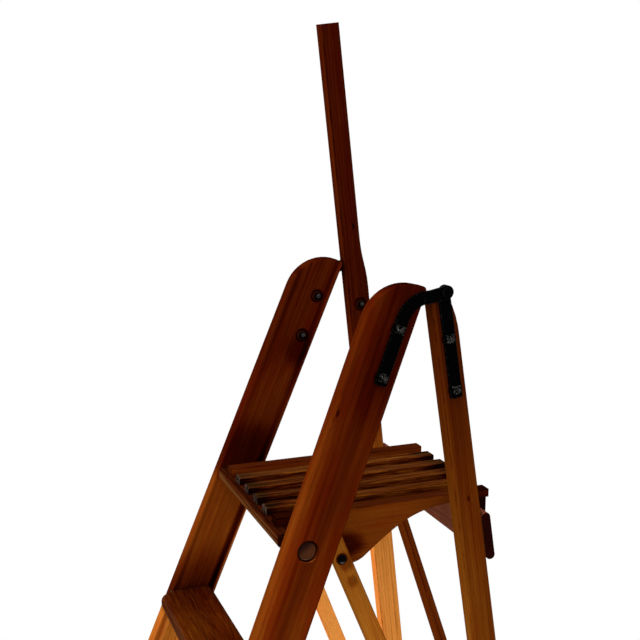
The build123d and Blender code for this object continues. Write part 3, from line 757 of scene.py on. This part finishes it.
def pivot_painted_light(name):
    """Brown pivot head with painted light: painted shade at the top, lighter below, and a painted highlight
    along its lower rim.
    """
    shader = Shader(name)
    skin = shader.noise(shader.place, PIVOT_SKIN)
    # painted light: darker towards the top, in painted shade, and lighter below
    slant = shader.dot(shader.stretch(shader.place, (1, 1, 1), -PIVOT), (0, -0.5, 0.87))
    slant = shader.sway(slant, skin, 0.008)
    rubbed_and_lit = shader.fade(slant, -0.3 * HEAD_RADIUS, 0.7 * HEAD_RADIUS, 1.0, 0.0)
    colour = shader.blend(rubbed_and_lit, PIVOT_SHADED, PIVOT_LIT)
    # dirt and painted shade in the gap round the head
    colour = shader.blend(shader.fade(shader.crevice(PIVOT_DIRT_AND_SHADE), 0.6, 1.0, 0.0, 0.7), colour, GRIME_AND_SHADE)
    # painted highlight along the lower rim
    colour = shader.blend(shader.facing((0.3, 0.1, -0.95), 0.5, 0.85, 0.8), colour, PIVOT_RIM_HIGHLIGHT)
    shader.set(Base_Color=colour, Roughness=0.45, Specular_IOR_Level=0.03)
    shader.bump(skin, PIVOT_RELIEF)
    return shader.material


def dress(node_name, material):
    node = frame["nodes"][node_name]
    node.data.materials.clear()
    node.data.materials.append(material)


def dress_boards():
    """Gives each board its own wood: tone, pith, knots and bands differ from board to board."""
    bolts = [centre for name in BOLT_SETS for centre in shell_centres(frame["nodes"][name])]
    for seed, name in enumerate(sorted(BOARDS)):
        dress(name, varnished_wood(frame["nodes"][name], seed, bolts, BOARDS[name]))


def dress_metal():
    painted = painted_iron("painted_iron", **PAINTED)
    scarred_and_glinting = painted_iron("scarred_and_glinting_iron", **SCARRED_AND_GLINTING)
    dull = painted_iron("dull_iron", **DULL_HEAD)
    capped = painted_iron("capped_iron", **CAPPED_HEAD)
    for side in ("right", "left"):
        for name in ("hinge_strap_", "hinge_leaf_", "hinge_rivet_"):
            dress(name + side, painted)
        dress("link_head_bolt_" + side, capped)
        dress("platform_pivot_" + side, pivot_painted_light("pivot_" + side))
        dress("link_spacer_" + side, old_steel("spacer_" + side))
    for name in ("stile_hinge_nuts", "leg_hinge_nuts"):
        dress(name, scarred_and_glinting)
    for name in BOLT_SETS + ("link_foot_nuts",):
        dress(name, dull)
    for name in ("rail_screws", "brace_screws"):
        dress(name, old_steel(name + "_steel"))


def make_camera():
    azimuth, dip, roll = (math.radians(angle) for angle in (CAMERA_AZIMUTH, CAMERA_DIP, CAMERA_ROLL))
    level = Vector((-math.sin(azimuth), math.cos(azimuth), 0))
    ahead = level * math.cos(dip) - Vector((0, 0, math.sin(dip)))
    right = Vector((math.cos(azimuth), math.sin(azimuth), 0))
    up = right.cross(ahead)
    turned = right * math.cos(roll) + up * math.sin(roll)
    raised = up * math.cos(roll) - right * math.sin(roll)
    data = bpy.data.cameras.new("camera")
    data.sensor_width = SENSOR
    data.lens = LENS
    camera = bpy.data.objects.new("camera", data)
    axes = Matrix((turned, raised, -ahead)).transposed().to_4x4()
    camera.matrix_world = Matrix.Translation(HINGE + CAMERA_FROM_HINGE) @ axes
    bpy.context.scene.collection.objects.link(camera)
    bpy.context.scene.camera = camera


def seen_directly(tree):
    """1 for rays from the camera, or by way of a reflection or glass, and 0 for other light."""
    path = tree.nodes.new("ShaderNodeLightPath")
    share = path.outputs["Is Camera Ray"]
    for name in ("Is Glossy Ray", "Is Transmission Ray"):
        larger = tree.nodes.new("ShaderNodeMath")
        larger.operation = "MAXIMUM"
        tree.links.new(share, larger.inputs[0])
        tree.links.new(path.outputs[name], larger.inputs[1])
        share = larger.outputs[0]
    return share


def make_world():
    """White behind the object, and a soft even light on it."""
    world = bpy.data.worlds.new("studio")
    world.use_nodes = True
    tree = world.node_tree
    strength = tree.nodes.new("ShaderNodeMapRange")
    strength.inputs["To Min"].default_value = WORLD_LEVEL
    tree.links.new(seen_directly(tree), strength.inputs["Value"])
    background = tree.nodes["Background"]
    background.inputs["Color"].default_value = WHITE
    tree.links.new(strength.outputs[0], background.inputs["Strength"])
    bpy.context.scene.world = world


def make_floor():
    """Pale floor that keeps the object's shadow near the feet, and is white to the camera further off."""
    bpy.ops.mesh.primitive_circle_add(
        vertices=96, radius=FLOOR_RADIUS, fill_type="NGON", location=(0, 0, 0)
    )
    floor = bpy.context.object
    floor.name = "floor"
    shader = Shader("floor_paint")
    shader.set(Base_Color=FLOOR_PAINT, Roughness=0.9, Specular_IOR_Level=0.1)
    glow = shader.node("Emission", {"Color": WHITE})
    white = shader.fade(shader.length(shader.place), SHADOW_NEAR, SHADOW_FAR, WHITE_NEAR, WHITE_FAR)
    share = shader.math("MULTIPLY", seen_directly(shader.tree), white)
    mixed = shader.node("MixShader", {0: share, 1: shader.surface.outputs[0], 2: glow.outputs[0]})
    shader.feed(shader.tree.nodes["Material Output"].inputs["Surface"], mixed.outputs[0])
    floor.data.materials.append(shader.material)


def make_lamp(name, place, target, size, watts):
    data = bpy.data.lights.new(name, "AREA")
    data.shape = "DISK"
    data.size = size
    data.energy = watts
    lamp = bpy.data.objects.new(name, data)
    lamp.location = place
    lamp.rotation_euler = (Vector(target) - Vector(place)).to_track_quat("-Z", "Y").to_euler()
    bpy.context.scene.collection.objects.link(lamp)


dress_boards()
dress_metal()
make_camera()
make_world()
make_floor()
make_lamp("front_light", **FRONT_LIGHT)
make_lamp("top_light", **TOP_LIGHT)
bpy.context.scene.view_settings.view_transform = "Standard"
